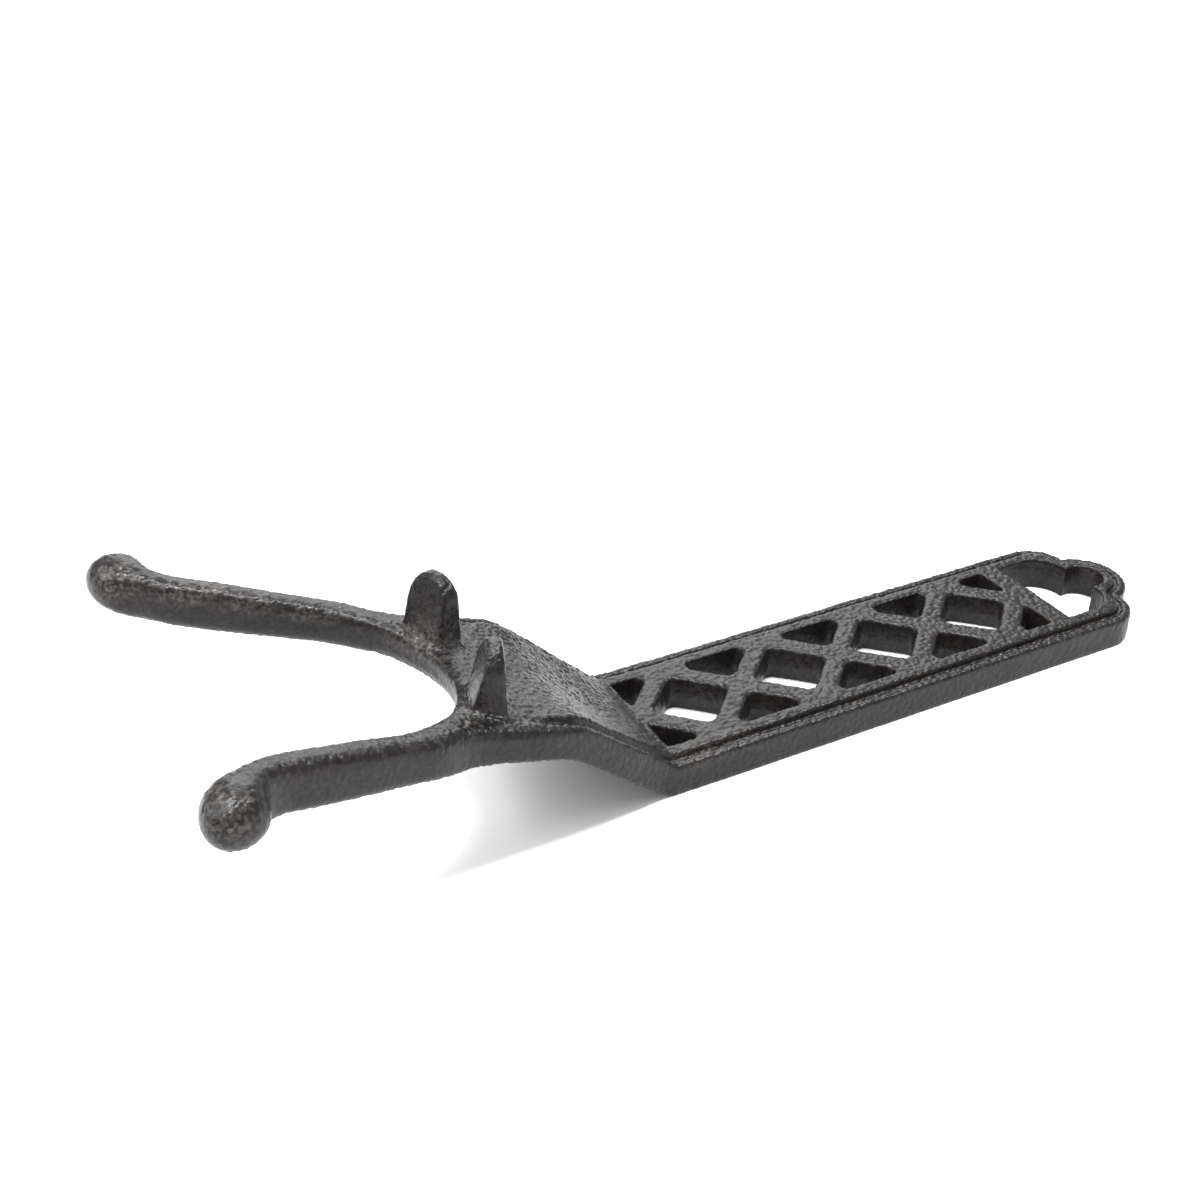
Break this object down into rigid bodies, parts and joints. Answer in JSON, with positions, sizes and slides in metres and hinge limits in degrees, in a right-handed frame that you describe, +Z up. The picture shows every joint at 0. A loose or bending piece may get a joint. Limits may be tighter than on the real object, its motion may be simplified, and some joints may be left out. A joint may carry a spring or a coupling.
{
  "type": "boot jack",
  "caption": "Cast-iron boot jack: a flat lattice handle with a lobed hanging loop rises through a ramp to a forked throat with two heel tabs and round-tipped arms.",
  "frame": {"origin": "on the floor, below the middle of the bounding box", "axes": "+X along the handle to the hanging loop, +Y across to the left arm, +Z up"},
  "size_m": [0.3026, 0.1164, 0.0662],
  "materials": {
    "iron": "dark brown-black oiled finish over a sand-cast grain, with bright worn grains on the edges"
  },
  "bodies": {
    "root": {"left_rail": "iron", "right_rail": "iron", "end_rung": "iron", "lozenge_1": "iron", "lozenge_2": "iron", "lozenge_3": "iron", "lozenge_4": "iron", "hanging_loop": "iron", "ramp": "iron", "yoke": "iron", "left_arm": "iron", "right_arm": "iron", "left_tip": "iron", "right_tip": "iron", "left_tab": "iron", "right_tab": "iron"}
  },
  "joints": []
}
